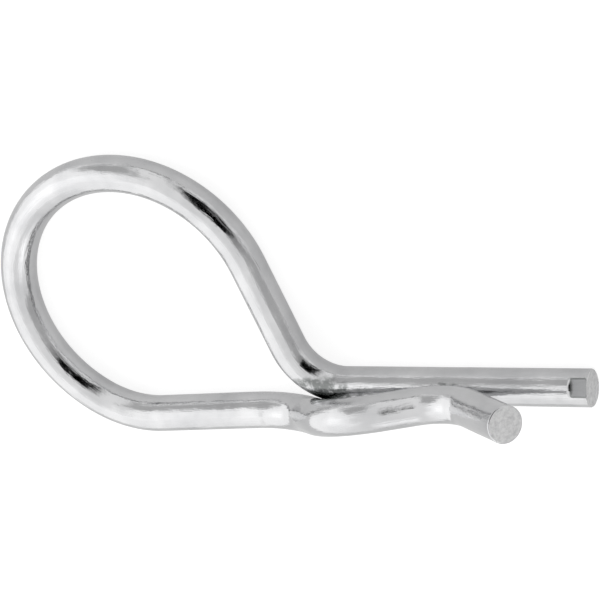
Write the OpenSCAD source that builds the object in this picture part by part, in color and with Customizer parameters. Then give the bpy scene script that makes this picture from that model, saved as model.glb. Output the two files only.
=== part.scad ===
// Hitch R clip pin: one piece of round spring wire, bent into a loop with
// a straight leg and a wavy leg that springs down onto it.
// The loop and the straight leg lie flat in the XY plane. The straight leg
// points along +X, and the wavy leg rises along +Z and lands on top of it.

/* [Wire] */
// Diameter of the wire
wire_d = 4.5; // [3.5:0.1:5.5]
// Width of the broken edge round each sheared end
end_break = 0.2; // [0.1:0.05:0.5]
// Diameter that the wire loses where it is stretched round a bend
bend_thinning = 0.02; // [0.01:0.01:0.05]
// Length of full wire that carries on into each end of a bend
bend_entry = 0.1; // [0.05:0.05:0.15]
// Gap left between the two legs where they touch
leg_gap = 0.05; // [0.02:0.01:0.2]

/* [Straight leg] */
// Length of the straight leg, from its sheared end to the neck bend
leg_length = 31.4; // [26:0.2:40]
// Length of the flat that the shear pressed into the leg's end
shear_flat_length = 2.1; // [1:0.1:3]
// Depth of that flat
shear_flat_depth = 0.3; // [0.1:0.05:0.5]
// Angle of that flat's face above the plane of the loop
shear_flat_angle = 62; // [0:1:90]

/* [Neck] */
// Angle that the wire turns through at the neck
neck_angle = 75.5; // [70:0.5:82]
// Inside radius of the neck bend
neck_inside_r = 4.8; // [4:0.1:6.5]

/* [Loop] */
// Inside diameter of the loop
loop_inside_d = 29; // [24:0.5:34]
// Angle of the heel, the tighter bend that closes the loop
heel_angle = 35.5; // [25:0.5:45]
// How much smaller the radius of the heel is than that of the loop
heel_tightening = 3; // [1:0.1:4]
// Angle at which the wavy leg runs from the heel towards the straight leg
toe_in = 3; // [1:0.5:5]

/* [Wavy leg beside the neck] */
// Distance of the side step's corner behind the neck bend
step_back = 10.6; // [10:0.1:13]
// Distance that the wavy leg steps sideways to pass the neck
step_side = 0.5; // [0.2:0.05:1]
// Inside radius of the bend at the side step
step_inside_r = 3.8; // [3:0.1:6]
// Distance of the corner where the climb starts behind the neck bend
climb_back = 6.3; // [5.5:0.1:7]
// Inside radius of the bend where the climb starts
climb_inside_r = 3; // [2.5:0.1:4.5]

/* [Wavy leg over the straight leg] */
// Distance of the crest's corner in front of the neck bend
crest_forward = 0.8; // [0:0.1:2]
// Height of the crest's corner above the wavy leg's lowest seat
crest_rise = 4.4; // [3:0.1:6]
// Inside radius of the crest
crest_inside_r = 7; // [5:0.5:10]
// Distance of the landing's corner in front of the neck bend
landing_forward = 15; // [13:0.2:18]
// Inside radius of the bend where the wavy leg lands
landing_inside_r = 5.5; // [4:0.5:8]

/* [Flared tip] */
// Length of the flared tip from the landing's corner to its sheared end
flare_length = 12.8; // [10:0.2:16]
// Angle of the flared tip above the straight leg
flare_rise = 37.5; // [30:0.5:45]
// Angle of the flared tip away from the straight leg, towards the loop's side
flare_splay = 8; // [0:0.5:12]

/* [Hidden] */
$fn = 64;

wire_r = wire_d / 2;
zinc = [0.80, 0.81, 0.83];

// Radii of the bends along the wire's centre line
neck_r = neck_inside_r + wire_r;
loop_r = loop_inside_d / 2 + wire_r;
heel_r = loop_r - heel_tightening;
step_r = step_inside_r + wire_r;
climb_r = climb_inside_r + wire_r;
crest_r = crest_inside_r + wire_r;
landing_r = landing_inside_r + wire_r;

// Centre lines this far apart leave leg_gap between the legs
leg_spacing = wire_d + leg_gap;

function unit(v) = v / norm(v);
function turn_between(u, v) = acos(max(-1, min(1, u * v)));
function heading(angle) = [cos(angle), sin(angle), 0];
function tangent_length(before, corner, after, r) =
    r * tan(turn_between(unit(corner - before), unit(after - corner)) / 2);

// Flared tip's direction, away from the landing's corner
flare_way = [
    cos(flare_rise) * cos(flare_splay),
    cos(flare_rise) * sin(flare_splay),
    sin(flare_rise)
];

// Height of the landing's corner, where the bend's lowest point sits on the straight leg
crest_z = leg_spacing + crest_rise;
landing_reach = landing_forward - crest_forward;
function slope_to(z) = atan((crest_z - z) / landing_reach);
function corner_drop(fall) =
    landing_r * (cos((flare_rise - fall) / 2) / cos((flare_rise + fall) / 2) - 1);
function landing_height(z, steps) =
    steps == 0 ? z : landing_height(leg_spacing - corner_drop(slope_to(z)), steps - 1);
settle_steps = 30;
landing_z = landing_height(leg_spacing, settle_steps);

crest = [crest_forward, 0, crest_z];
landing = [landing_forward, 0, landing_z];
flare_tip = landing + flare_length * flare_way;
function climb_at(y) = [-climb_back, y, 0];
function step_at(y) = [-step_back, y + step_side, 0];

// Points along the bend of radius r at a corner
arc_steps = 8;
function corner_arc(before, corner, after, r) =
    let (
        u = unit(corner - before),
        turn = turn_between(u, unit(after - corner)),
        inward = unit(unit(after - corner) - cos(turn) * u),
        start = corner - r * tan(turn / 2) * u
    )
    [for (k = [0:arc_steps])
        let (a = turn * k / arc_steps)
        start + r * sin(a) * u + r * (1 - cos(a)) * inward];

// Least distance between the neck bend and the climbing stretch of the wavy leg
neck_samples = 30;
neck_points = [
    for (k = [0:neck_samples])
        let (a = neck_angle * k / neck_samples)
        neck_r * [-sin(a), 1 - cos(a), 0]
];
function point_to_segment(p, a, b) =
    let (t = (p - a) * (b - a) / ((b - a) * (b - a)))
    norm(p - a - max(0, min(1, t)) * (b - a));
function climb_points(y) = concat(
    corner_arc(step_at(y), climb_at(y), crest, climb_r),
    corner_arc(climb_at(y), crest, landing, crest_r));
function closest_pass(y) =
    let (path = climb_points(y))
    min([
        for (p = neck_points)
            for (k = [1:len(path) - 1])
                point_to_segment(p, path[k - 1], path[k])
    ]);

// Sideways place of the climb at which it just clears the neck
function settle_side(near, far, steps) =
    let (middle = (near + far) / 2)
    steps == 0 ? far :
    closest_pass(middle) < leg_spacing
        ? settle_side(middle, far, steps - 1)
        : settle_side(near, middle, steps - 1);
side_steps = 14;
climb_y = settle_side(-wire_r, -2 * wire_d, side_steps);
climb = climb_at(climb_y);
step = step_at(climb_y);

// The loop's centre, found from the run of the wavy leg and the slope of the neck
run_way = heading(toe_in);
run_left = heading(toe_in + 90);
neck_corner = [-neck_r * tan(neck_angle / 2), 0, 0];
slope_way = heading(180 - neck_angle);
slope_left = heading(270 - neck_angle);
loop_over_run = heel_r + heel_tightening * cos(heel_angle);
loop_base = neck_corner + loop_r * slope_left;
slope_length = (loop_over_run - (loop_base - step) * run_left) / (slope_way * run_left);
loop_centre = loop_base + slope_length * slope_way;
heel_centre = loop_centre
    - heel_tightening * (sin(heel_angle) * run_way + cos(heel_angle) * run_left);
run_start = heel_centre - heel_r * run_left;
loop_angle = 180 + neck_angle + toe_in - heel_angle;

// Bends of the wavy leg: corners, their radii and the tangent lengths that they use up
corners = [run_start, step, climb, crest, landing, flare_tip];
corner_r = [0, step_r, climb_r, crest_r, landing_r, 0];
last = len(corners) - 1;
ways = [for (k = [0:last - 1]) unit(corners[k + 1] - corners[k])];
tangents = [
    for (k = [0:last])
        k == 0 || k == last ? 0
            : tangent_length(corners[k - 1], corners[k], corners[k + 1], corner_r[k])
];
// Direction towards the inside of a bend from way u to way v, at the bend's start and end
function inside_at_start(u, v) = unit(v - (u * v) * u);
function inside_at_end(u, v) = unit((u * v) * v - u);
function roll_about(u, from, to) = atan2(cross(from, to) * u, from * to);
insides = [
    for (k = [0:last - 1]) k == 0 ? run_left : inside_at_end(ways[k - 1], ways[k])
];

// Each row feeds the wire, rolls it about its own axis and bends it: [feed, roll, bend, radius]
flat_rows = [
    [leg_length, 0, neck_angle, neck_r],
    [slope_length - neck_r * tan(neck_angle / 2), 180, loop_angle, loop_r],
    [0, 0, heel_angle, heel_r]
];
wavy_rows = [
    for (k = [1:last - 1]) [
        norm(corners[k] - corners[k - 1]) - tangents[k - 1] - tangents[k],
        roll_about(ways[k - 1], insides[k - 1], inside_at_start(ways[k - 1], ways[k])),
        turn_between(ways[k - 1], ways[k]),
        corner_r[k]
    ]
];
bend_table = concat(flat_rows, wavy_rows);
tip_feed = flare_length - tangents[last - 1];

// Half of the part's outline in X and Y, which puts the origin under its middle
outline_low = [loop_centre[0] - loop_r - wire_r, heel_centre[1] - heel_r - wire_r];
outline_high = [leg_length, loop_centre[1] + loop_r + wire_r];
outline_middle = (outline_low + outline_high) / 2;

// Straight stretch of wire along +Z, with its lower and upper edges broken by these widths
module straight(length, low_break, high_break) {
    rotate_extrude()
        polygon([
            [0, 0],
            [wire_r - low_break, 0],
            [wire_r, low_break],
            [wire_r, length - high_break],
            [wire_r - high_break, length],
            [0, length]
        ]);
}

// Wire bent through angle towards +X, starting at the origin along +Z
module bend(angle, r) {
    translate([r, 0, 0])
        rotate([-90, 0, 0])
            rotate_extrude(angle = angle, start = 180)
                translate([r, 0]) circle(d = wire_d - bend_thinning);
}

// Lays the rows of the bend table end to end, then the straight flared tip.
// Every stretch but the first starts within the end of the bend before it.
module lay_wire(k) {
    entry = k == 0 ? 0 : bend_entry;
    if (k < len(bend_table)) {
        feed = bend_table[k][0];
        angle = bend_table[k][2];
        r = bend_table[k][3];
        translate([0, 0, -entry])
            straight(entry + feed + bend_entry, k == 0 ? end_break : 0, 0);
        translate([0, 0, feed]) rotate([0, 0, bend_table[k][1]]) {
            bend(angle, r);
            translate([r, 0, 0]) rotate([0, angle, 0]) translate([-r, 0, 0]) lay_wire(k + 1);
        }
    } else {
        translate([0, 0, -entry]) straight(entry + tip_feed, 0, end_break);
    }
}

// Block that cuts the shear's flat into the end of the straight leg
module shear_flat() {
    translate([leg_length - shear_flat_length, 0, 0])
        rotate([shear_flat_angle, 0, 0])
            translate([0, wire_r - shear_flat_depth, -wire_d])
                cube([2 * shear_flat_length, wire_d, 2 * wire_d]);
}

module clip_wire() {
    color(zinc)
        translate([-outline_middle[0], -outline_middle[1], wire_r])
            difference() {
                translate([leg_length, 0, 0]) rotate([0, -90, 0]) rotate([0, 0, 90])
                    lay_wire(0);
                shear_flat();
            }
}

clip_wire();
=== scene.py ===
from math import acos, atan, cos, exp, pi, radians, sin, tan

import bpy
from bpy.props import FloatProperty, FloatVectorProperty, IntProperty, PointerProperty
from mathutils import Matrix, Vector, kdtree, noise


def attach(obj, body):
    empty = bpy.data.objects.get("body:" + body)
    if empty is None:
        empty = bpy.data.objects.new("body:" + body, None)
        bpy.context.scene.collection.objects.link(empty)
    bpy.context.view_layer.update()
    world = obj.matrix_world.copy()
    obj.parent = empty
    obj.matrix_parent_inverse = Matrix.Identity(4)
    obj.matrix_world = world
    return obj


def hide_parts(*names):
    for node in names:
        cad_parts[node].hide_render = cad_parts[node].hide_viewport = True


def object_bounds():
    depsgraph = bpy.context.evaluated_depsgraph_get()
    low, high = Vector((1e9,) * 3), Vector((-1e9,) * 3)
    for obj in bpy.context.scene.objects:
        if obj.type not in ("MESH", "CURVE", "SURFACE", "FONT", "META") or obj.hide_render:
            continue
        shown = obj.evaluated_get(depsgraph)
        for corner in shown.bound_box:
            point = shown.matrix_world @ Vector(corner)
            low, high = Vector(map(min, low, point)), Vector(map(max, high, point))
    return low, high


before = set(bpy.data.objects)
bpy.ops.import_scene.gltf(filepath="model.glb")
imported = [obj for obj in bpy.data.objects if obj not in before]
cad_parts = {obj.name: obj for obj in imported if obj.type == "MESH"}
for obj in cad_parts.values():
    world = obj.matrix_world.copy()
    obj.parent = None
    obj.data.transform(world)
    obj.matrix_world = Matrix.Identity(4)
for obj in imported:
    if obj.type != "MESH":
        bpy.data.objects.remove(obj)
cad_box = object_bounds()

bl_info = {
    "name": "Hitch R Clip Pin",
    "version": (1, 0, 0),
    "blender": (4, 5, 0),
    "location": "View3D > Sidebar > Clip Pin",
    "description": "Bends a zinc-plated hitch clip from one wire and sets it on a white studio table",
    "category": "Add Mesh",
}

BODY = "root"
CAD_NODE = "clip_wire"

# The camera's sensor in millimetres, its near limit in metres, and how matt the floor is
SENSOR_WIDTH = 36.0
CLIP_START = 0.01
FLOOR_ROUGHNESS = 0.9
WHITE = (1.0, 1.0, 1.0, 1.0)


def length(name, description, default):
    """A length that a user may set, in metres"""
    return FloatProperty(
        name=name, description=description, default=default, min=0.0,
        subtype="DISTANCE", unit="LENGTH", precision=5)


def angle(name, description, degrees):
    """An angle that a user may set, with its default in degrees"""
    return FloatProperty(
        name=name, description=description, default=radians(degrees),
        subtype="ANGLE", unit="ROTATION")


def share(name, description, default, high=1.0):
    """A plain number from nought to high"""
    return FloatProperty(name=name, description=description, default=default, min=0.0, max=high)


def tint(name, description, default):
    """A colour that a user may set"""
    return FloatVectorProperty(
        name=name, description=description, default=default, min=0.0, max=1.0,
        size=3, subtype="COLOR")


class ClipWireSizes(bpy.types.PropertyGroup):
    """Sizes of the bent wire"""
    wire_diameter: length("Wire Diameter", "Diameter of the round wire", 0.0045)
    leg_gap: length("Leg Gap", "Gap left between the legs where they touch", 0.00005)
    leg_length: length("Leg Length", "Straight leg, from its sheared end to the neck bend", 0.0314)
    neck_angle: angle("Neck Angle", "Angle that the wire turns through at the neck", 75.5)
    neck_inside: length("Neck Inside Radius", "Inside radius of the neck bend", 0.0048)
    loop_inside: length("Loop Inside Diameter", "Inside diameter of the loop", 0.029)
    heel_angle: angle("Heel Angle", "Angle of the tighter bend that closes the loop", 35.5)
    heel_tightening: length("Heel Tightening", "How much smaller the heel's radius is", 0.003)
    toe_in: angle("Toe-in", "Angle of the wavy leg's run towards the straight leg", 3)
    step_back: length("Step Back", "Side step's corner, behind the neck bend", 0.0106)
    step_side: length("Step Side", "Sideways step of the wavy leg before the neck", 0.0005)
    step_inside: length("Step Inside Radius", "Inside radius at the side step", 0.0038)
    climb_back: length("Climb Back", "Corner where the climb starts, behind the neck bend", 0.0063)
    climb_inside: length("Climb Inside Radius", "Inside radius where the climb starts", 0.003)
    crest_forward: length("Crest Forward", "Crest's corner, in front of the neck bend", 0.0008)
    crest_rise: length("Crest Rise", "Height of the crest's corner above the lowest seat", 0.0044)
    crest_inside: length("Crest Inside Radius", "Inside radius of the crest", 0.007)
    landing_forward: length("Landing Forward", "Landing's corner, in front of the neck bend", 0.015)
    landing_inside: length("Landing Inside Radius", "Inside radius where the wave lands", 0.0055)
    flare_length: length("Flare Length", "Flared tip, from the landing's corner", 0.0128)
    flare_rise: angle("Flare Rise", "Angle of the flared tip above the straight leg", 37.5)
    flare_splay: angle("Flare Splay", "Angle of the flared tip to the loop's side", 8)
    end_break: length("Edge Break", "Width of the broken edge round a sheared end", 0.0002)
    flat_length: length("Shear Flat Length", "Flat pressed into the straight leg's end", 0.0021)
    flat_depth: length("Shear Flat Depth", "Depth of the shear's flat", 0.0003)
    flat_angle: angle("Shear Flat Angle", "Angle of the flat above the loop's plane", 62)
    ring_spacing: length("Ring Spacing", "Distance between the mesh's rings", 0.0003)
    sides: IntProperty(name="Sides", description="Faces round the wire", default=96, min=24)


class ClipZincFinish(bpy.types.PropertyGroup):
    """Bright zinc plate and bare sheared steel"""
    zinc: tint("Zinc", "Colour that the bright plate reflects", (0.668, 0.669, 0.675))
    zinc_shade: tint("Zinc Shade", "Colour of the plate's duller patches", (0.565, 0.567, 0.576))
    gloss_low: share("Brightest Roughness", "Roughness of the brightest plate", 0.06)
    gloss_high: share("Dullest Roughness", "Roughness of the dullest plate", 0.13)
    # Dark colour of the small specks, and of the painted shade where the legs touch and along the shear
    # flat's edge
    darkening: tint("Specks and Painted Shade", "Colour of the small dark specks and of the painted shade", (0.17, 0.18, 0.175))
    scuff: tint("Scuffed Zinc", "Colour of the flat that the shear pressed", (0.37, 0.373, 0.38))
    steel: tint("Sheared Steel", "Colour of the sheared faces", (0.92, 0.92, 0.92))
    steel_shade: tint("Sheared Steel Shade", "Colour of the torn part of a face", (0.66, 0.66, 0.665))
    steel_metal: share("Sheared Metallic", "Share of the sheared faces that reflects as metal", 0.3)
    steel_roughness: share("Sheared Roughness", "Roughness of the sheared faces", 0.42)


class ClipStage(bpy.types.PropertyGroup):
    """White table, soft light and the camera"""
    floor_width: length("Floor Width", "Side of the square white floor", 3.0)
    floor_colour: tint("Floor Colour", "Colour of the floor", (0.4, 0.4, 0.4))
    floor_glow: share("Floor Glow", "Light that the floor adds where the camera sees it", 0.8)
    floor_mirror_glow: share("Floor Mirror Glow", "Light that it adds in reflections", 0.41)
    room_light: share("Room Light", "Strength of the room's plain light on things", 0.62, 4.0)
    lamp_glow: share("Lamp Glow", "Brightness of a lamp's face, where one is white", 1.7, 9.0)
    azimuth: angle("Camera Azimuth", "Turn of the camera about the clip, from looking along +Y", 131.59)
    elevation: angle("Camera Elevation", "Height of the camera above the floor", 52.17)
    roll: angle("Camera Roll", "Turn of the camera about its own axis", -138.48)
    distance: length("Camera Distance", "From the camera to the point it looks at", 0.334)
    target: FloatVectorProperty(
        name="Camera Target", description="Point that the camera looks at",
        default=(0.0019, -0.0016, 0.0004), size=3, subtype="TRANSLATION", unit="LENGTH", precision=5)
    lens: FloatProperty(
        name="Lens", description="Focal length on a sensor 36 mm wide", default=167.27,
        min=1.0, subtype="DISTANCE_CAMERA")


def heading(turn):
    """Level direction at an angle from +X"""
    return Vector((cos(turn), sin(turn), 0.0))


def turn_between(before, after):
    """Angle between two directions of length one"""
    return acos(max(-1.0, min(1.0, before.dot(after))))


def bend_arc(before, corner, after, radius, steps):
    """Points along the bend that rounds a corner"""
    way = (corner - before).normalized()
    onward = (after - corner).normalized()
    turn = turn_between(way, onward)
    inward = (onward - cos(turn) * way).normalized()
    start = corner - radius * tan(turn / 2) * way
    return [start + radius * (sin(a) * way + (1 - cos(a)) * inward)
            for a in (turn * k / steps for k in range(steps + 1))]


def segment_distance(point, start, end):
    """Distance from a point to a straight stretch"""
    along = end - start
    t = max(0.0, min(1.0, (point - start).dot(along) / along.dot(along)))
    return (point - start - t * along).length


class WirePlan:
    """Corners, radii and centres of the clip, with the neck bend's start at the origin"""
    # Steps that the bends and the neck are measured in, rounds of the two searches, and how many
    # half wires to the side the climb is looked for
    arc_steps = 8
    neck_samples = 30
    side_steps = 14
    settle_steps = 30
    side_reach = 4

    def __init__(self, sizes):
        half = sizes.wire_diameter / 2
        self.sizes = sizes
        self.half = half
        self.spacing = sizes.wire_diameter + sizes.leg_gap
        self.neck_r = sizes.neck_inside + half
        self.loop_r = sizes.loop_inside / 2 + half
        self.heel_r = self.loop_r - sizes.heel_tightening
        self.crest = Vector((sizes.crest_forward, 0.0, self.spacing + sizes.crest_rise))
        self.landing = Vector((sizes.landing_forward, 0.0, self.landing_height()))
        level = cos(sizes.flare_rise)
        self.tip = self.landing + sizes.flare_length * Vector((
            level * cos(sizes.flare_splay), level * sin(sizes.flare_splay), sin(sizes.flare_rise)))
        self.climb = Vector((-sizes.climb_back, self.settle_side(), 0.0))
        self.step = Vector((-sizes.step_back, self.climb.y + sizes.step_side, 0.0))
        self.place_loop()

    def landing_height(self):
        """Height of the landing's corner at which its bend just rests on the straight leg"""
        sizes = self.sizes
        radius = sizes.landing_inside + self.half
        reach = sizes.landing_forward - sizes.crest_forward
        height = self.spacing
        for _ in range(self.settle_steps):
            fall = atan((self.crest.z - height) / reach)
            high, low = (sizes.flare_rise - fall) / 2, (sizes.flare_rise + fall) / 2
            height = self.spacing - radius * (cos(high) / cos(low) - 1)
        return height

    def closest_pass(self, side):
        """Least distance from the neck bend to the climb, with the climb's corner at this side"""
        sizes = self.sizes
        climb = Vector((-sizes.climb_back, side, 0.0))
        step = Vector((-sizes.step_back, side + sizes.step_side, 0.0))
        path = bend_arc(step, climb, self.crest, sizes.climb_inside + self.half, self.arc_steps)
        path += bend_arc(
            climb, self.crest, self.landing, sizes.crest_inside + self.half, self.arc_steps)
        turns = [sizes.neck_angle * k / self.neck_samples for k in range(self.neck_samples + 1)]
        neck = [self.neck_r * Vector((-sin(a), 1 - cos(a), 0.0)) for a in turns]
        return min(segment_distance(p, a, b) for p in neck for a, b in zip(path, path[1:]))

    def settle_side(self):
        """Sideways place of the climb at which it just clears the neck"""
        near, far = -self.half, -self.side_reach * self.half
        for _ in range(self.side_steps):
            middle = (near + far) / 2
            if self.closest_pass(middle) < self.spacing:
                near = middle
            else:
                far = middle
        return far

    def place_loop(self):
        """The loop's centre, from the run of the wavy leg and the slope of the neck"""
        sizes = self.sizes
        run_way, run_left = heading(sizes.toe_in), heading(sizes.toe_in + pi / 2)
        slope_way, slope_left = heading(pi - sizes.neck_angle), heading(1.5 * pi - sizes.neck_angle)
        tightening = sizes.heel_tightening
        base = Vector((-self.neck_r * tan(sizes.neck_angle / 2), 0.0, 0.0)) + self.loop_r * slope_left
        over_run = self.heel_r + tightening * cos(sizes.heel_angle)
        self.slope = (over_run - (base - self.step).dot(run_left)) / slope_way.dot(run_left)
        self.loop_centre = base + self.slope * slope_way
        self.heel_centre = self.loop_centre - tightening * (
            sin(sizes.heel_angle) * run_way + cos(sizes.heel_angle) * run_left)
        self.run_start = self.heel_centre - self.heel_r * run_left

    def outline_middle(self):
        """Point under the middle of the clip's outline"""
        left = self.loop_centre.x - self.loop_r - self.half
        low = self.heel_centre.y - self.heel_r - self.half
        high = self.loop_centre.y + self.loop_r + self.half
        return Vector(((left + self.sizes.leg_length) / 2, (low + high) / 2, -self.half))


class WirePath:
    """Centre line of the wire, laid stretch by stretch, as points with the way at each"""
    # Fewest steps of a bend, rounds and strength of the easing, and rounds and reach of the push
    least_bend_steps = 4
    ease_rounds = 90
    ease_share = 0.5
    clear_rounds = 12
    push_spread = 0.0035

    def __init__(self, start, way, spacing):
        self.points = [start.copy()]
        self.ways = [way.normalized()]
        self.spacing = spacing
        self.marks = []

    def straight(self, distance):
        """Feeds the wire straight on"""
        start, way = self.points[-1].copy(), self.ways[-1]
        count = max(1, round(distance / self.spacing))
        for k in range(1, count + 1):
            self.points.append(start + way * (distance * k / count))
            self.ways.append(way.copy())

    def bend(self, turn, radius, inside):
        """Bends the wire towards inside, a direction square to the wire"""
        start, way = self.points[-1].copy(), self.ways[-1].copy()
        count = max(self.least_bend_steps, round(turn * radius / self.spacing))
        for k in range(1, count + 1):
            a = turn * k / count
            self.points.append(start + radius * (sin(a) * way + (1 - cos(a)) * inside))
            self.ways.append(cos(a) * way + sin(a) * inside)

    def ease(self, first, last, clearance):
        """Rounds the changes of bend between two points, and keeps them this far from earlier wire"""
        points = self.points
        shares = {k: sin(pi * (k - first) / (last - first)) for k in range(first, last)}
        for _ in range(self.ease_rounds):
            before = [v.copy() for v in points[first - 1:last + 1]]
            for k, share_here in shares.items():
                low, here, high = before[k - first:k - first + 3]
                points[k] = here + self.ease_share * share_here * ((low + high) / 2 - here)
        self.push_clear(shares, clearance, first // 2)
        for k in shares:
            self.ways[k] = (points[k + 1] - points[k - 1]).normalized()

    def push_clear(self, shares, clearance, early):
        """Pushes the points with a share gently away from the wire's early points"""
        points = self.points
        near = kdtree.KDTree(early)
        for k in range(early):
            near.insert(points[k], k)
        near.balance()
        for _ in range(self.clear_rounds):
            nearest = [(near.find(points[k]), k) for k in shares]
            (place, _, distance), worst = min(nearest, key=lambda found: found[0][2])
            if distance >= clearance:
                break
            push = (clearance - distance) * (points[worst] - place).normalized()
            for k, share_here in shares.items():
                apart = (k - worst) * self.spacing / self.push_spread
                points[k] = points[k] + exp(-apart * apart) * share_here * push

    def left(self):
        """Level direction to the left of the wire's way"""
        way = self.ways[-1]
        return Vector((-way.y, way.x, 0.0)).normalized()


def lay_clip(plan):
    """The whole centre line, from the straight leg's end to the flared tip"""
    sizes = plan.sizes
    start, way = Vector((sizes.leg_length, 0.0, 0.0)), Vector((-1.0, 0.0, 0.0))
    path = WirePath(start, way, sizes.ring_spacing)
    path.straight(sizes.leg_length)
    path.bend(sizes.neck_angle, plan.neck_r, -path.left())
    path.straight(plan.slope - plan.neck_r * tan(sizes.neck_angle / 2))
    path.bend(pi + sizes.neck_angle + sizes.toe_in - sizes.heel_angle, plan.loop_r, path.left())
    path.bend(sizes.heel_angle, plan.heel_r, path.left())
    corners = [plan.run_start, plan.step, plan.climb, plan.crest, plan.landing, plan.tip]
    insides = [sizes.step_inside, sizes.climb_inside, sizes.crest_inside, sizes.landing_inside]
    ways = [(b - a).normalized() for a, b in zip(corners, corners[1:])]
    used = 0.0
    ends = [len(path.points)]
    for k, inside_radius in enumerate(insides):
        radius = inside_radius + plan.half
        turn = turn_between(ways[k], ways[k + 1])
        tangent = radius * tan(turn / 2)
        path.straight((corners[k + 1] - corners[k]).length - used - tangent)
        path.bend(turn, radius, (ways[k + 1] - ways[k].dot(ways[k + 1]) * ways[k]).normalized())
        used = tangent
        ends.append(len(path.points))
    path.straight(sizes.flare_length - used)
    heel_end, step_end, _, crest_end, landing_end = ends
    path.marks = [step_end - 1, landing_end - 1]
    path.ease(heel_end, crest_end, plan.spacing)
    return path


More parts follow.
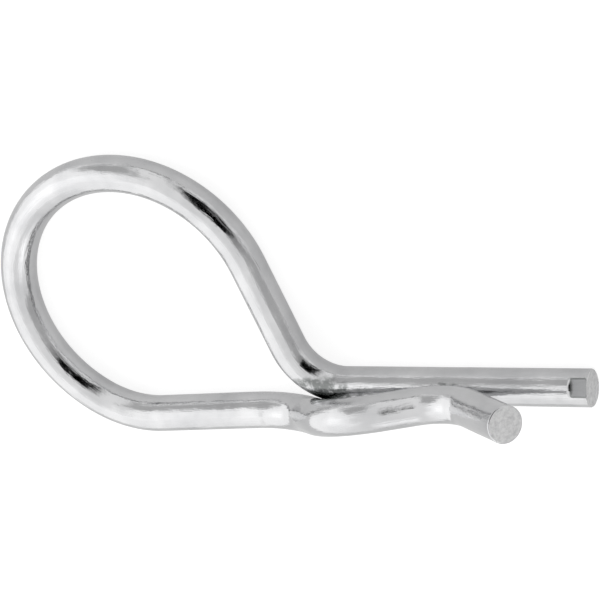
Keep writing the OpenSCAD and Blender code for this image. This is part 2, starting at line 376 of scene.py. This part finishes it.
class WireSkin:
    """Rings of vertices round the centre line, and the sheared faces that close them"""
    # Sheared ends: rings of the edge and of the face, edges' widths that the sweep leaves clear,
    # and the relief of the tear and its burr
    edge_steps = 5
    face_rings = 12
    edge_clearance = 1.5
    tear_size = 0.0009
    tear_depth = 0.00006
    tear_noise = (1.0, 2.0, 4)
    burr_depth = 0.00007
    burr_turn = 0.6
    # Painted shade where the wire nears another stretch of itself: how far it reaches, and how much wire
    # lies between two stretches that can touch
    shade_reach = 0.0012
    neck_shade_reach = 0.0036
    neck_shade_zone = 0.009
    shade_apart = 0.012
    # The shear's flat: its run-out, the radius that counts as the leg, and how soon it turns dull
    flat_ramp = 0.0003
    flat_radius_share = 1.1
    flat_dulling = 4.0
    # Marks of the bending tool: a sharp start this far before the bend's end, then a long fade
    mark_depth = 0.00006
    mark_ramp = 0.0004
    mark_length = 0.005
    mark_before = 0.0018

    def __init__(self, plan, path):
        self.plan = plan
        self.sides = plan.sizes.sides
        self.vertices = []
        self.grain = []
        self.rings = 0
        self.sweep(path)
        # How much painted shade each vertex gets where the wire nears another stretch of itself
        self.darkening = self.find_contact_shade(path)
        self.scuff = self.press_flat()

    def mark_depth_at(self, path, k):
        """Depth of the bending tool's marks at a point, each with a sharp start and a long fade"""
        depth = 0.0
        for mark in path.marks:
            past = (k - mark) * path.spacing + self.mark_before
            if past > 0.0:
                start = min(1.0, past / self.mark_ramp)
                depth += self.mark_depth * start * max(0.0, 1.0 - past / self.mark_length)
        return depth

    def ring(self, centre, side, other, radius, travel, mark):
        """One ring of the wire, which a tool mark flattens on its upper side"""
        for k in range(self.sides):
            a = 2 * pi * k / self.sides
            out = cos(a) * side + sin(a) * other
            self.vertices.append(centre + (radius - mark * max(0.0, cos(a)) ** 2) * out)
            self.grain.append((cos(a), sin(a), travel))
        self.rings += 1

    def sheared_end(self, centre, way, side, other, travel, inward):
        """Edge and torn face of one end, from the face's middle outwards when inward is false"""
        half, edge = self.plan.half, self.plan.sizes.end_break
        rows = []
        for k in range(1, self.face_rings + 1):
            rows.append((k / self.face_rings * (half - edge), 0.0))
        for k in range(1, self.edge_steps + 1):
            a = pi / 2 * k / self.edge_steps
            rows.append((half - edge + edge * sin(a), edge * (1 - cos(a))))
        if inward:
            rows.reverse()
        for radius, depth in rows:
            for k in range(self.sides):
                a = 2 * pi * k / self.sides
                out = cos(a) * side + sin(a) * other
                place = centre + radius * out
                tear = 0.5 + 0.5 * noise.fractal(place / self.tear_size, *self.tear_noise)
                lean = 0.5 - 0.5 * cos(a - self.burr_turn) * radius / half
                fade = 1.0 if depth == 0.0 else max(0.0, 1.0 - depth / edge)
                sink = depth + fade * (self.tear_depth * tear + self.burr_depth * lean)
                self.vertices.append(place + way * sink)
                self.grain.append((cos(a), sin(a), travel))
            self.rings += 1

    def sweep(self, path):
        """Lays the rings from the straight leg's end to the tip"""
        half = self.plan.half
        way = path.ways[0]
        side = Vector((0.0, 0.0, 1.0))
        other = way.cross(side)
        self.middles = [path.points[0] + way * self.tear_depth]
        self.sheared_end(path.points[0], way, side, other, 0.0, False)
        travel = 0.0
        clear_of_edge = self.edge_clearance * self.plan.sizes.end_break
        last = len(path.points) - 1
        for k in range(1, last + 1):
            way = path.ways[k]
            travel += (path.points[k] - path.points[k - 1]).length
            side = (side - side.dot(way) * way).normalized()
            other = way.cross(side)
            if travel >= clear_of_edge and k < last:
                self.ring(path.points[k], side, other, half, travel, self.mark_depth_at(path, k))
        self.sheared_end(path.points[last], -way, side, other, travel, True)
        self.middles.append(path.points[last] - way * self.tear_depth)

    def find_contact_shade(self, path):
        """How close each vertex is to another stretch of the wire, which sets the painted shade between
        the legs: one in contact, nought when clear
        """
        near = kdtree.KDTree(len(path.points))
        travel = [0.0]
        for k, point in enumerate(path.points):
            near.insert(point, k)
            if k:
                travel.append(travel[-1] + (point - path.points[k - 1]).length)
        near.balance()
        neck = self.plan.sizes.leg_length + self.plan.neck_r * self.plan.sizes.neck_angle / 2
        darkening = []
        for vertex, (_, _, along) in zip(self.vertices, self.grain):
            at_neck = abs(along - neck) < self.neck_shade_zone
            reach = self.neck_shade_reach if at_neck else self.shade_reach
            closest = reach
            for _, k, distance in near.find_range(vertex, self.plan.half + reach):
                if abs(travel[k] - along) > self.shade_apart:
                    closest = min(closest, max(0.0, distance - self.plan.half))
            darkening.append(1.0 - closest / reach)
        return darkening

    def press_flat(self):
        """Presses the shear's flat into the straight leg's end, and says how far each vertex gave way"""
        sizes, half = self.plan.sizes, self.plan.half
        way = Vector((0.0, cos(sizes.flat_angle), sin(sizes.flat_angle)))
        inner = sizes.leg_length - sizes.flat_length
        pressed = []
        for vertex in self.vertices:
            on_leg = vertex.yz.length < self.flat_radius_share * half
            ramp = min(1.0, max(0.0, (vertex.x - inner) / self.flat_ramp))
            over = vertex.dot(way) - (half - sizes.flat_depth * ramp) if on_leg and ramp else 0.0
            if over > 0.0:
                vertex -= over * way
            pressed.append(min(1.0, max(0.0, over / sizes.flat_depth) * self.flat_dulling))
        return pressed

    def faces(self):
        """Quads between the rings and fans at both ends"""
        sides = self.sides
        quads = []
        for ring in range(self.rings - 1):
            a, b = ring * sides, (ring + 1) * sides
            for k in range(sides):
                n = (k + 1) % sides
                quads.append((a + k, a + n, b + n, b + k))
        first, last = len(self.vertices), len(self.vertices) + 1
        top = (self.rings - 1) * sides
        fans = []
        for k in range(sides):
            n = (k + 1) % sides
            fans.append((first, n, k))
            fans.append((last, top + k, top + n))
        return quads, fans

    def torn_faces(self):
        """Numbers of the quads and fans that make up the two torn faces"""
        torn = self.face_rings * self.sides
        quads = (self.rings - 1) * self.sides
        return [*range(torn), *range(quads - torn, quads + 2 * self.sides)]


def empty_material(name):
    """A node material with nothing but its output, and the socket that takes its surface"""
    material = bpy.data.materials.new(name)
    material.use_nodes = True
    tree = material.node_tree
    tree.nodes.clear()
    output = tree.nodes.new("ShaderNodeOutputMaterial")
    return material, tree, output.inputs["Surface"]


def new_material(name):
    """A node material with its shader"""
    material, tree, surface = empty_material(name)
    shader = tree.nodes.new("ShaderNodeBsdfPrincipled")
    tree.links.new(shader.outputs["BSDF"], surface)
    return material, tree, shader


def noise_node(tree, coordinate, scale, detail=3.0, roughness=0.5):
    """A noise texture read at a coordinate"""
    node = tree.nodes.new("ShaderNodeTexNoise")
    node.inputs["Scale"].default_value = scale
    node.inputs["Detail"].default_value = detail
    node.inputs["Roughness"].default_value = roughness
    tree.links.new(coordinate, node.inputs["Vector"])
    return node.outputs["Fac"]


def between(tree, value, low, high, to_low, to_high):
    """Maps a value from one span to another"""
    node = tree.nodes.new("ShaderNodeMapRange")
    for name, number in zip(("From Min", "From Max", "To Min", "To Max"), (low, high, to_low, to_high)):
        node.inputs[name].default_value = number
    tree.links.new(value, node.inputs["Value"])
    return node.outputs["Result"]


def combine(tree, first, second, operation="ADD"):
    """Adds two values, or combines them by another operation; each may be a number"""
    node = tree.nodes.new("ShaderNodeMath")
    node.operation = operation
    for value, socket in zip((first, second), node.inputs):
        if isinstance(value, float):
            socket.default_value = value
        else:
            tree.links.new(value, socket)
    return node.outputs[0]


def blend_colour(tree, amount, first, second):
    """Mixes two colours by an amount; the first may come from an earlier node"""
    node = tree.nodes.new("ShaderNodeMix")
    node.data_type = "RGBA"
    if isinstance(first, bpy.types.NodeSocket):
        tree.links.new(first, node.inputs["A"])
    else:
        node.inputs["A"].default_value = (*first, 1.0)
    node.inputs["B"].default_value = (*second, 1.0)
    tree.links.new(amount, node.inputs["Factor"])
    return node.outputs["Result"]


def bump(tree, height, distance, strength, before=None):
    """A bump from a height, on top of an earlier one"""
    node = tree.nodes.new("ShaderNodeBump")
    node.inputs["Distance"].default_value = distance
    node.inputs["Strength"].default_value = strength
    tree.links.new(height, node.inputs["Height"])
    if before:
        tree.links.new(before, node.inputs["Normal"])
    return node.outputs["Normal"]


def attribute(tree, name, output="Fac"):
    """A value that the mesh carries at its vertices"""
    node = tree.nodes.new("ShaderNodeAttribute")
    node.attribute_name = name
    return node.outputs[output]


# Noises of the two surfaces: scale, detail and roughness
NOISES = {
    "patches": (220.0, 3.0, 0.5),
    "waves": (420.0, 1.0, 0.5),
    "streaks": (3.0, 4.0, 0.6),
    "pits": (2600.0, 2.0, 0.5),
    "specks": (1500.0, 4.0, 0.7),
    "blotches": (900.0, 4.0, 0.65),
    "mottle": (1900.0, 5.0, 0.7),
    "grit": (9000.0, 3.0, 0.5),
}

# How a value is read: from this low and high, onto that low and high
SPANS = {
    "patch_tone": (0.35, 0.7, 0.0, 1.0),
    "speck_tone": (0.68, 0.78, 0.0, 0.6),
    "scuff_tone": (0.0, 1.0, 0.0, 0.9),
    # Painted shade along the shear flat's edge
    "flat_edge_shade_tone": (0.0, 0.25, 0.0, 0.75),
    # Painted shade where the legs touch: its blotchy breaks and its strength
    "shade_breaks": (0.36, 0.6, 0.5, 1.7),
    "contact_shade_tone": (0.25, 0.7, 0.0, 0.85),
    "torn_tone": (0.4, 0.68, 0.0, 1.0),
}

# The soft patches turn from the brightest to the dullest roughness over this part of their noise
GLOSS_SPAN = (0.3, 0.7)

# Bumps of the two surfaces: depth in metres and strength
BUMPS = {
    "waves": (0.00008, 0.7),
    "streaks": (0.00012, 0.6),
    "pits": (0.000012, 0.5),
    "mottle": (0.00006, 0.6),
    "grit": (0.00001, 0.5),
}

# The drawn wire's streaks are this much finer along it, and the pressed flat is this much duller
STREAK_STRETCH = 55.0
SCUFF_ROUGHNESS = 0.38


def bright_zinc(finish):
    """Near-mirror zinc plate: streaks of the drawn wire, soft dull patches, specks, and painted shade
    where the legs touch and along the shear flat's edge
    """
    material, tree, shader = new_material("bright_zinc")
    place = tree.nodes.new("ShaderNodeTexCoord").outputs["Object"]
    grain = tree.nodes.new("ShaderNodeMapping")
    grain.inputs["Scale"].default_value = (1.0, 1.0, STREAK_STRETCH)
    tree.links.new(attribute(tree, "wire_grain", "Vector"), grain.inputs["Vector"])
    patches = noise_node(tree, place, *NOISES["patches"])
    colour = blend_colour(
        tree, between(tree, patches, *SPANS["patch_tone"]), finish.zinc, finish.zinc_shade)
    specks = between(tree, noise_node(tree, place, *NOISES["specks"]), *SPANS["speck_tone"])
    colour = blend_colour(tree, specks, colour, finish.darkening)
    scuff = attribute(tree, "wire_scuff")
    colour = blend_colour(tree, between(tree, scuff, *SPANS["scuff_tone"]), colour, finish.scuff)
    # Painted shade: a dark line along the edge of the shear's flat
    flat_edge_shade = combine(tree, scuff, combine(tree, 1.0, scuff, "SUBTRACT"), "MULTIPLY")
    colour = blend_colour(tree, between(tree, flat_edge_shade, *SPANS["flat_edge_shade_tone"]), colour, finish.darkening)
    # Painted shade where the legs touch, broken into blotches
    breaks = between(tree, noise_node(tree, place, *NOISES["blotches"]), *SPANS["shade_breaks"])
    contact_shade = combine(tree, attribute(tree, "wire_contact_shade"), breaks, "MULTIPLY")
    colour = blend_colour(tree, between(tree, contact_shade, *SPANS["contact_shade_tone"]), colour, finish.darkening)
    tree.links.new(colour, shader.inputs["Base Color"])
    rough = between(tree, patches, *GLOSS_SPAN, finish.gloss_low, finish.gloss_high)
    rough = combine(tree, rough, combine(tree, scuff, SCUFF_ROUGHNESS, "MULTIPLY"))
    tree.links.new(rough, shader.inputs["Roughness"])
    shader.inputs["Metallic"].default_value = 1.0
    normal = bump(tree, noise_node(tree, place, *NOISES["waves"]), *BUMPS["waves"])
    streaks = noise_node(tree, grain.outputs["Vector"], *NOISES["streaks"])
    normal = bump(tree, streaks, *BUMPS["streaks"], normal)
    normal = bump(tree, noise_node(tree, place, *NOISES["pits"]), *BUMPS["pits"], normal)
    tree.links.new(normal, shader.inputs["Normal"])
    return material


def sheared_steel(finish):
    """Matt torn face of a sheared end, mottled light and dark grey"""
    material, tree, shader = new_material("sheared_steel")
    place = tree.nodes.new("ShaderNodeTexCoord").outputs["Object"]
    mottle = noise_node(tree, place, *NOISES["mottle"])
    amount = between(tree, mottle, *SPANS["torn_tone"])
    tree.links.new(
        blend_colour(tree, amount, finish.steel, finish.steel_shade), shader.inputs["Base Color"])
    shader.inputs["Metallic"].default_value = finish.steel_metal
    shader.inputs["Roughness"].default_value = finish.steel_roughness
    normal = bump(tree, mottle, *BUMPS["mottle"])
    normal = bump(tree, noise_node(tree, place, *NOISES["grit"]), *BUMPS["grit"], normal)
    tree.links.new(normal, shader.inputs["Normal"])
    return material


class CLIP_OT_bend_wire(bpy.types.Operator):
    """Bend the clip from one wire, with its two sheared ends"""
    bl_idname = "clip.bend_wire"
    bl_label = "Bend the Wire"

    def execute(self, context):
        """Adds the bent wire, which takes the CAD node's place"""
        plan = WirePlan(context.scene.clip_sizes)
        skin = WireSkin(plan, lay_clip(plan))
        shift = -plan.outline_middle()
        quads, fans = skin.faces()
        points = [v + shift for v in skin.vertices + skin.middles]
        mesh = bpy.data.meshes.new("bent_wire")
        mesh.from_pydata(points, [], quads + fans)
        grain = mesh.attributes.new("wire_grain", "FLOAT_VECTOR", "POINT")
        flat_grain = [c for g in skin.grain + [(0.0, 0.0, 0.0)] * 2 for c in g]
        grain.data.foreach_set("vector", flat_grain)
        # The first of these attributes says how much painted shade each vertex gets where the legs touch
        for name, values in (("wire_contact_shade", skin.darkening), ("wire_scuff", skin.scuff)):
            mesh.attributes.new(name, "FLOAT", "POINT").data.foreach_set("value", values + [0.0] * 2)
        finish = context.scene.clip_finish
        mesh.materials.append(bright_zinc(finish))
        mesh.materials.append(sheared_steel(finish))
        for k in skin.torn_faces():
            mesh.polygons[k].material_index = 1
        mesh.polygons.foreach_set("use_smooth", [True] * len(mesh.polygons))
        mesh.update()
        if mesh.validate():
            raise RuntimeError("The bent wire's mesh has faults")
        piece = bpy.data.objects.new("bent_wire", mesh)
        context.scene.collection.objects.link(piece)
        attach(piece, BODY)
        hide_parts(CAD_NODE)
        return {"FINISHED"}


def camera_axes(stage):
    """Right, up and back of the camera, in the clip's frame"""
    back = Vector((
        sin(stage.azimuth) * cos(stage.elevation),
        -cos(stage.azimuth) * cos(stage.elevation),
        sin(stage.elevation)))
    level = Vector((cos(stage.azimuth), sin(stage.azimuth), 0.0))
    upright = back.cross(level)
    right = cos(stage.roll) * level + sin(stage.roll) * upright
    return right, back.cross(right), back


def add_camera(scene, stage):
    """Camera at the photograph's angle"""
    right, up, back = camera_axes(stage)
    data = bpy.data.cameras.new("studio_camera")
    data.sensor_width = SENSOR_WIDTH
    data.lens = stage.lens
    data.clip_start = CLIP_START
    camera = bpy.data.objects.new("studio_camera", data)
    camera.matrix_world = Matrix.Translation(Vector(stage.target) + stage.distance * back) @ Matrix(
        (right, up, back)).transposed().to_4x4()
    scene.collection.objects.link(camera)
    scene.camera = camera


def by_ray(tree, camera, mirrored, lighting):
    """A strength for camera rays, for glossy and transmission rays, and for the light on things"""
    path = tree.nodes.new("ShaderNodeLightPath").outputs
    through = combine(tree, path["Is Glossy Ray"], path["Is Transmission Ray"], "MAXIMUM")
    seen = combine(tree, path["Is Camera Ray"], camera - lighting, "MULTIPLY")
    reflected = combine(tree, through, mirrored - lighting, "MULTIPLY")
    return combine(tree, combine(tree, seen, reflected), lighting)


def add_world(scene, stage):
    """White room: full white where it is seen or reflected, and a plain soft light on things"""
    world = bpy.data.worlds.new("white_room")
    scene.world = world
    world.use_nodes = True
    tree = world.node_tree
    background = tree.nodes["Background"]
    background.inputs["Color"].default_value = WHITE
    tree.links.new(by_ray(tree, 1.0, 1.0, stage.room_light), background.inputs["Strength"])


def add_floor(scene, stage, height):
    """White table top, which keeps the clip's shadow"""
    half = stage.floor_width / 2
    mesh = bpy.data.meshes.new("floor")
    corners = [(-half, -half, height), (half, -half, height), (half, half, height), (-half, half, height)]
    mesh.from_pydata(corners, [], [(0, 1, 2, 3)])
    material, tree, shader = new_material("white_table")
    shader.inputs["Base Color"].default_value = (*stage.floor_colour, 1.0)
    shader.inputs["Roughness"].default_value = FLOOR_ROUGHNESS
    shader.inputs["Specular IOR Level"].default_value = 0.0
    shader.inputs["Emission Color"].default_value = WHITE
    glow = by_ray(tree, stage.floor_glow, stage.floor_mirror_glow, 0.0)
    tree.links.new(glow, shader.inputs["Emission Strength"])
    mesh.materials.append(material)
    floor = bpy.data.objects.new("floor", mesh)
    scene.collection.objects.link(floor)


# Cards round the table: two azimuths, two elevations, distance, brightness, share that is soft edge
CARDS = {
    "tent_side": (120.0, 258.0, -8.0, 76.0, 1.6, 1.3, 0.2),
    "side_wall": (96.0, 142.0, 0.5, 56.0, 1.5, 0.55, 0.28),
    "grey_wall": (-40.0, 14.0, -6.0, 60.0, 1.5, 0.55, 0.25),
    "dark_curtain": (-6.0, 84.0, 6.0, 70.0, 1.3, 0.38, 0.26),
    "tent_opening": (20.0, 66.0, 26.0, 68.0, 1.0, 0.0, 0.14),
    "opening_foot": (44.0, 72.0, 12.0, 43.0, 1.1, 0.02, 0.25),
    "main_panel": (146.0, 222.0, 20.0, 64.0, 1.2, 1.55, 0.45),
    "side_panel": (260.0, 314.0, 14.0, 56.0, 1.2, 1.5, 0.45),
    "table_edge": (256.0, 356.0, 3.0, 12.0, 1.15, 0.06, 0.3),
    "far_table_edge": (58.0, 112.0, 0.5, 7.0, 1.15, 0.12, 0.3),
}

# Quads across and up a card
CARD_STEPS = (36, 18)

# Soft lamps: azimuth, elevation, distance, width and height
LAMPS = {
    "main_lamp": (182.0, 43.0, 1.0, 0.95, 0.5),
    "side_lamp": (288.0, 40.0, 1.0, 0.73, 0.36),
}


def aim(place, target):
    """Turns an object's -Z axis from a place towards a target"""
    return Matrix.Translation(place) @ (target - place).to_track_quat("-Z", "Y").to_matrix().to_4x4()


def around(azimuth, elevation, distance):
    """Place at an azimuth from +X, an elevation and a distance from the clip"""
    level = cos(radians(elevation))
    return distance * Vector((
        level * cos(radians(azimuth)), level * sin(radians(azimuth)), sin(radians(elevation))))


def smooth_step(amount):
    """An amount up to one, with a soft start and end"""
    held = min(1.0, amount)
    return held * held * (3.0 - 2.0 * held)


def card_material(name, glow):
    """A plain glow that fades to clear at the card's soft edge"""
    material, tree, surface = empty_material(name)
    clear = tree.nodes.new("ShaderNodeBsdfTransparent")
    light = tree.nodes.new("ShaderNodeEmission")
    light.inputs["Strength"].default_value = glow
    mix = tree.nodes.new("ShaderNodeMixShader")
    sources = (attribute(tree, "card_fade"), clear.outputs[0], light.outputs[0])
    for source, socket in zip(sources, mix.inputs):
        tree.links.new(source, socket)
    tree.links.new(mix.outputs[0], surface)
    return material


def add_card(scene, name, west, east, low, high, distance, glow, soft):
    """A curved card between two azimuths and two elevations, which shows only in reflections

    Its soft edge takes up the given share of its width and height.
    """
    across, up = CARD_STEPS
    points, fade, quads = [], [], []
    for j in range(up + 1):
        for i in range(across + 1):
            x, y = i / across, j / up
            points.append(around(west + (east - west) * x, low + (high - low) * y, distance))
            fade.append(smooth_step(min(x, 1 - x, y, 1 - y) / soft))
    for j in range(up):
        for i in range(across):
            a = j * (across + 1) + i
            quads.append((a, a + 1, a + across + 2, a + across + 1))
    mesh = bpy.data.meshes.new(name)
    mesh.from_pydata(points, [], quads)
    mesh.attributes.new("card_fade", "FLOAT", "POINT").data.foreach_set("value", fade)
    mesh.materials.append(card_material(name, glow))
    card = bpy.data.objects.new(name, mesh)
    card.visible_camera = False
    card.visible_diffuse = False
    card.visible_shadow = False
    card.visible_transmission = False
    scene.collection.objects.link(card)


def add_lamp(scene, name, azimuth, elevation, distance, width, height, glow):
    """A soft lamp whose face has this brightness"""
    data = bpy.data.lights.new(name, "AREA")
    data.shape = "RECTANGLE"
    data.size, data.size_y = width, height
    data.energy = glow * pi * width * height
    lamp = bpy.data.objects.new(name, data)
    lamp.visible_glossy = False
    lamp.matrix_world = aim(around(azimuth, elevation, distance), Vector((0.0, 0.0, 0.0)))
    scene.collection.objects.link(lamp)


class CLIP_OT_studio(bpy.types.Operator):
    """Set the white table, the soft light, the grey cards and the camera"""
    bl_idname = "clip.studio"
    bl_label = "Set the Stage"

    def execute(self, context):
        """Adds the room, the floor, the cards, the lamps and the camera"""
        scene, stage = context.scene, context.scene.clip_stage
        scene.view_settings.view_transform = "Standard"
        add_world(scene, stage)
        add_floor(scene, stage, cad_box[0][2])
        for name, card in CARDS.items():
            add_card(scene, name, *card)
        for name, lamp in LAMPS.items():
            add_lamp(scene, name, *lamp, stage.lamp_glow)
        add_camera(scene, stage)
        return {"FINISHED"}


class CLIP_PT_panel(bpy.types.Panel):
    """Sidebar panel that lists the steps"""
    bl_label = "Hitch R Clip Pin"
    bl_space_type = "VIEW_3D"
    bl_region_type = "UI"
    bl_category = "Clip Pin"

    def draw(self, context):
        """Shows a button for each step"""
        for step in (CLIP_OT_bend_wire, CLIP_OT_studio):
            self.layout.operator(step.bl_idname)


CLASSES = (
    ClipWireSizes, ClipZincFinish, ClipStage, CLIP_OT_bend_wire, CLIP_OT_studio, CLIP_PT_panel)


def register():
    """Adds the add-on's classes and its settings on the scene"""
    for each in CLASSES:
        bpy.utils.register_class(each)
    bpy.types.Scene.clip_sizes = PointerProperty(type=ClipWireSizes)
    bpy.types.Scene.clip_finish = PointerProperty(type=ClipZincFinish)
    bpy.types.Scene.clip_stage = PointerProperty(type=ClipStage)


def unregister():
    """Takes away what register() added"""
    del bpy.types.Scene.clip_stage
    del bpy.types.Scene.clip_finish
    del bpy.types.Scene.clip_sizes
    for each in reversed(CLASSES):
        bpy.utils.unregister_class(each)


def main():
    """Builds the clip and its stage"""
    register()
    bpy.ops.clip.bend_wire()
    bpy.ops.clip.studio()


if __name__ == "__main__":
    main()
